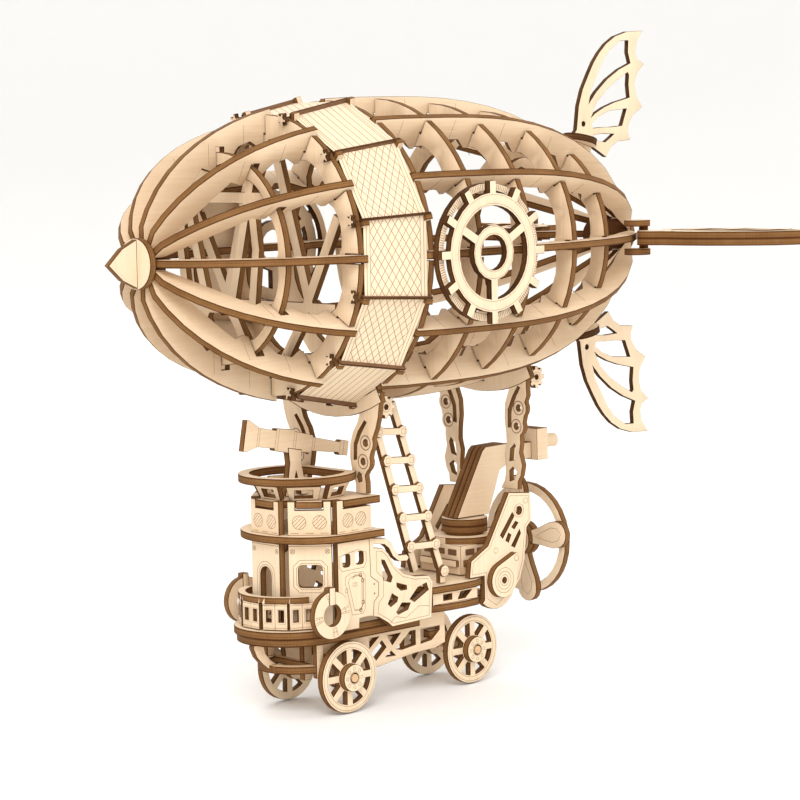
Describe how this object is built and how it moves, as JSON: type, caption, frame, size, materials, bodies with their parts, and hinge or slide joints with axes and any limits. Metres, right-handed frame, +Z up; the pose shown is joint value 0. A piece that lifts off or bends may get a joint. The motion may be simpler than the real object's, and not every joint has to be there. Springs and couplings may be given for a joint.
{
  "type": "toy airship",
  "caption": "Laser-cut plywood toy airship: an open rib-and-ring envelope with tail wings above a wheeled gondola with a tower, a ladder and a propeller.",
  "frame": {"origin": "middle of the bounding box at the level the wheels stand on", "axes": "+X runs from the nose to the tail, +Y to starboard, +Z up"},
  "size_m": [0.18, 0.125, 0.165],
  "materials": {
    "plywood": "matt laser-cut plywood with browned edges",
    "pale_plywood": "matt pale plywood with engraved lines",
    "dowel": "matt round wooden stick"
  },
  "bodies": {
    "hull": {"rib_00": "plywood", "rib_01": "plywood", "rib_02": "plywood", "rib_03": "plywood", "rib_04": "plywood", "rib_05": "plywood", "rib_06": "plywood", "rib_07": "plywood", "rib_08": "plywood", "rib_09": "plywood", "rib_10": "plywood", "rib_11": "plywood", "ring_1": "plywood", "ring_2": "plywood", "ring_3": "plywood", "ring_4": "plywood", "ring_5": "plywood", "ring_6": "plywood", "ring_7": "plywood", "nose_cap": "plywood", "tail_cap": "plywood", "tower_upper": "plywood", "crows_nest": "plywood", "balcony_rail": "plywood", "deck": "plywood", "stern_deck": "plywood", "stern_plate_port": "plywood", "stern_plate_starboard": "plywood", "chassis": "plywood", "bow_keel": "plywood", "telescope": "plywood", "ladder": "plywood", "engine": "plywood", "funnel": "plywood", "band": "pale_plywood", "medallion_port": "pale_plywood", "medallion_starboard": "pale_plywood", "wing_top": "pale_plywood", "wing_bottom": "pale_plywood", "wing_port": "pale_plywood", "wing_starboard": "pale_plywood", "tower_lower": "pale_plywood", "side_plate_port": "pale_plywood", "side_plate_starboard": "pale_plywood", "lifebuoy_port": "pale_plywood", "lifebuoy_starboard": "pale_plywood", "cog_front_port": "pale_plywood", "cog_front_starboard": "pale_plywood", "cog_rear_port": "pale_plywood", "cog_rear_starboard": "pale_plywood"},
    "front_wheels": {"axle_front": "dowel", "wheel_front_port": "pale_plywood", "wheel_front_starboard": "pale_plywood"},
    "rear_wheels": {"axle_rear": "dowel", "wheel_rear_port": "pale_plywood", "wheel_rear_starboard": "pale_plywood"},
    "propeller_set": {"propeller": "pale_plywood", "propeller_shaft": "dowel"}
  },
  "joints": [
    {"name": "front_axle_spin", "type": "hinge", "parent": "hull", "child": "front_wheels", "pos_m": [-0.0302, 0, 0.00869], "axis": [0, 1, 0], "continuous": true},
    {"name": "rear_axle_spin", "type": "hinge", "parent": "hull", "child": "rear_wheels", "pos_m": [0.014, 0, 0.00869], "axis": [0, 1, 0], "continuous": true},
    {"name": "propeller_spin", "type": "hinge", "parent": "hull", "child": "propeller_set", "pos_m": [0.0417, 0, 0.0329], "axis": [1, 0, 0], "continuous": true}
  ]
}
